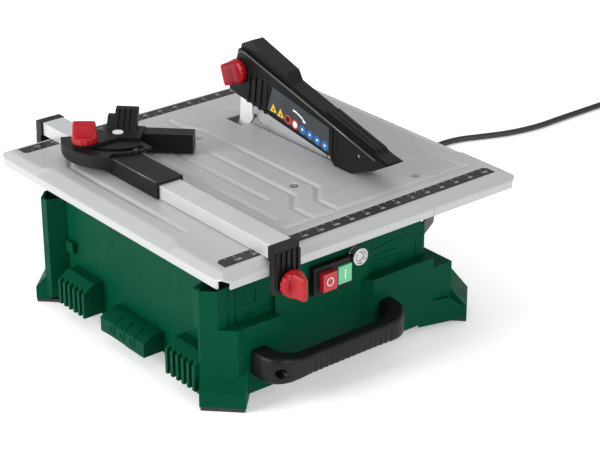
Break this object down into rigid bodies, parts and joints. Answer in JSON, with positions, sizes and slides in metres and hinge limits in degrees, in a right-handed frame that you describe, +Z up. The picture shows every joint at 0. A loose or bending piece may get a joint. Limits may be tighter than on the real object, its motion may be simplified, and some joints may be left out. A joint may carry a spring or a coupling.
{
  "type": "tile cutter",
  "caption": "Bench tile cutter: tilting grooved steel table on a moulded base, diamond blade under a hinged wedge guard, rip fence with swinging mitre gauge and carry handle.",
  "frame": {"origin": "On the floor under the middle of the table.", "axes": "+Z up, -Y is the operator side with switch and carry handle, +X is the side of the blade; the blade turns about X."},
  "size_m": [1.0355, 0.4711, 0.2625],
  "materials": {
    "green_plastic": "fine grained green moulding",
    "rubber_black": "dull",
    "tray_plastic": "plain moulding",
    "black_plastic": "spark eroded texture",
    "red_plastic": "smooth moulding",
    "start_green": "smooth moulding",
    "stop_red": "smooth moulding",
    "zinc_steel": "zinc plated",
    "chrome_nut": "bright",
    "table_steel": "silver grey powder coat",
    "scale_black": "printed strip",
    "motor_alu": "die cast",
    "lamination": "stacked electrical steel",
    "copper_winding": "varnished wire",
    "shaft_steel": "ground",
    "blade_steel": "brushed with a sintered rim",
    "white_paint": "light powder coat",
    "label_grey": "printed film",
    "rail_alu": "satin extrusion",
    "dial_white": "printed",
    "cord_black": "smooth rubber sheath"
  },
  "bodies": {
    "base": {"base_housing": "green_plastic", "rubber_feet": "rubber_black", "water_tray": "tray_plastic", "carry_handle": "black_plastic", "handle_screws": "zinc_steel", "switch_housing": "black_plastic", "guide_bolts": "zinc_steel", "motor_plate": "zinc_steel", "plate_screws": "zinc_steel", "motor_housing": "motor_alu", "end_shield_left": "motor_alu", "end_shield_right": "motor_alu", "stator_core": "lamination", "windings": "copper_winding", "fan_cover": "black_plastic", "bearings": "shaft_steel", "motor_bolts": "zinc_steel", "capacitor": "dial_white", "knife_bracket": "white_paint", "knife_bolts": "zinc_steel", "riving_knife": "white_paint", "cord_gland": "rubber_black", "cord_tube": "cord_black", "cord_coil": "cord_black", "plug": "rubber_black"},
    "table": {"table_top": "table_steel", "front_scale": "scale_black", "rear_scale": "scale_black", "table_screws": "zinc_steel", "tilt_bracket_front": "zinc_steel", "tilt_bracket_rear": "zinc_steel"},
    "fence": {"fence_rail": "rail_alu", "fence_front_clamp": "black_plastic", "fence_rear_clamp": "black_plastic", "clamp_jaws": "zinc_steel"},
    "front_knob": {"fence_front_knob": "red_plastic"},
    "rear_knob": {"fence_rear_knob": "red_plastic"},
    "mitre_slider": {"mitre_carriage": "black_plastic", "mitre_pivot": "zinc_steel"},
    "mitre_swinger": {"mitre_arm": "black_plastic", "mitre_dial": "dial_white"},
    "mitre_wing": {"mitre_knob": "red_plastic"},
    "guard_link": {"guard_bolt": "zinc_steel"},
    "guard": {"guard_left_shell": "black_plastic", "guard_right_shell": "black_plastic", "guard_screws": "zinc_steel", "guard_label": "label_grey"},
    "guard_wing": {"guard_knob": "red_plastic"},
    "spindle": {"motor_shaft": "shaft_steel", "rotor_core": "lamination", "cooling_fan": "black_plastic", "inner_flange": "zinc_steel", "outer_flange": "zinc_steel", "arbor_nut": "zinc_steel", "saw_blade": "blade_steel"},
    "nut_front": {"tilt_nut_front": "chrome_nut"},
    "nut_rear": {"tilt_nut_rear": "chrome_nut"},
    "start": {"start_button": "start_green"},
    "stop": {"stop_button": "stop_red"}
  },
  "joints": [
    {"name": "table_tilt", "type": "hinge", "parent": "base", "child": "table", "pos_m": [0.0665, 0, 0.165], "axis": [0, 1, 0], "range_deg": [0, 45]},
    {"name": "fence_slide", "type": "slide", "parent": "table", "child": "fence", "axis": [1, 0, 0], "range_m": [-0.038, 0.08]},
    {"name": "fence_front_knob_turn", "type": "hinge", "parent": "fence", "child": "front_knob", "pos_m": [-0.121, -0.207, 0.143], "axis": [0, -1, 0], "continuous": true},
    {"name": "fence_rear_knob_turn", "type": "hinge", "parent": "fence", "child": "rear_knob", "pos_m": [-0.121, 0.215, 0.143], "axis": [0, 1, 0], "continuous": true},
    {"name": "mitre_slide", "type": "slide", "parent": "fence", "child": "mitre_slider", "axis": [0, 1, 0], "range_m": [-0.17, 0.068]},
    {"name": "mitre_swing", "type": "hinge", "parent": "mitre_slider", "child": "mitre_swinger", "pos_m": [-0.1, 0.105, 0.186], "axis": [0, 0, 1], "range_deg": [0, 90]},
    {"name": "mitre_knob_turn", "type": "hinge", "parent": "mitre_swinger", "child": "mitre_wing", "pos_m": [-0.141, 0.105, 0.189], "axis": [0, 0, 1], "continuous": true},
    {"name": "guard_follow", "type": "hinge", "parent": "base", "child": "guard_link", "pos_m": [0.0665, 0.094, 0.225], "axis": [-1, 0, 0], "range_deg": [0, 5.5]},
    {"name": "guard_lift", "type": "hinge", "parent": "guard_link", "child": "guard", "pos_m": [0.0665, 0.094, 0.225], "axis": [-1, 0, 0], "range_deg": [0, 30]},
    {"name": "guard_knob_turn", "type": "hinge", "parent": "guard_link", "child": "guard_wing", "pos_m": [0.05, 0.094, 0.225], "axis": [-1, 0, 0], "continuous": true},
    {"name": "blade_spin", "type": "hinge", "parent": "base", "child": "spindle", "pos_m": [0.0665, 0.0165, 0.109], "axis": [1, 0, 0], "continuous": true},
    {"name": "tilt_nut_front_turn", "type": "hinge", "parent": "base", "child": "nut_front", "pos_m": [0.00141, -0.16, 0.11595], "axis": [0, -1, 0], "continuous": true},
    {"name": "tilt_nut_rear_turn", "type": "hinge", "parent": "base", "child": "nut_rear", "pos_m": [0.00141, 0.16, 0.11595], "axis": [0, 1, 0], "continuous": true},
    {"name": "start_press", "type": "slide", "parent": "base", "child": "start", "axis": [0, 1, 0], "range_m": [0, 0.003], "stiffness_N_per_m": 800, "springref_m": -0.001},
    {"name": "stop_press", "type": "slide", "parent": "base", "child": "stop", "axis": [0, 1, 0], "range_m": [0, 0.003], "stiffness_N_per_m": 800, "springref_m": -0.001}
  ],
  "couplings": [
    {"joint": "guard_follow", "follows": "table_tilt", "ratio": 0.122}
  ]
}
